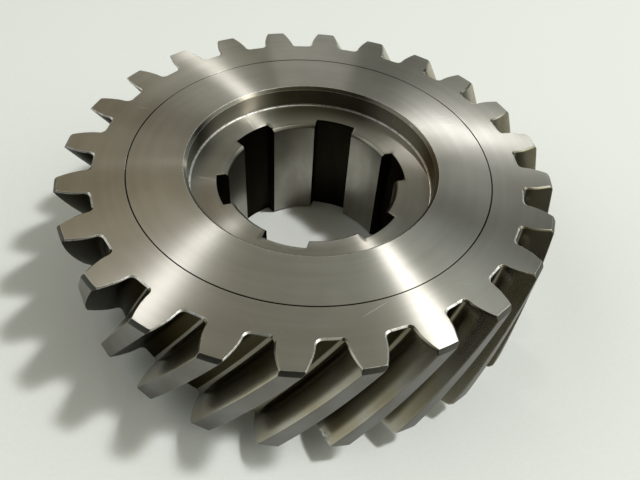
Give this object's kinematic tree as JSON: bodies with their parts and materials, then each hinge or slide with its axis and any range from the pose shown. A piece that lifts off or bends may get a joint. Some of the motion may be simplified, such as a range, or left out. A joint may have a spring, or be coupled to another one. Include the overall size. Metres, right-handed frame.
{
  "type": "helical gear",
  "caption": "Right-hand helical gear: a toothed ring shrunk onto a hub with a counterbore, a straight-sided splined bore and a boss below the teeth.",
  "frame": {"origin": "centre of the bore on the hub's lower end face, which the gear stands on", "axes": "+Z along the bore towards the counterbored face; +X through the middle of one spline slot"},
  "size_m": [0.1516, 0.1516, 0.0475],
  "materials": {
    "ring_steel": "turned faces, ground flanks",
    "hub_steel": "fine turned, broached bore"
  },
  "bodies": {
    "root": {"toothed_ring": "ring_steel", "splined_hub": "hub_steel"}
  },
  "joints": []
}
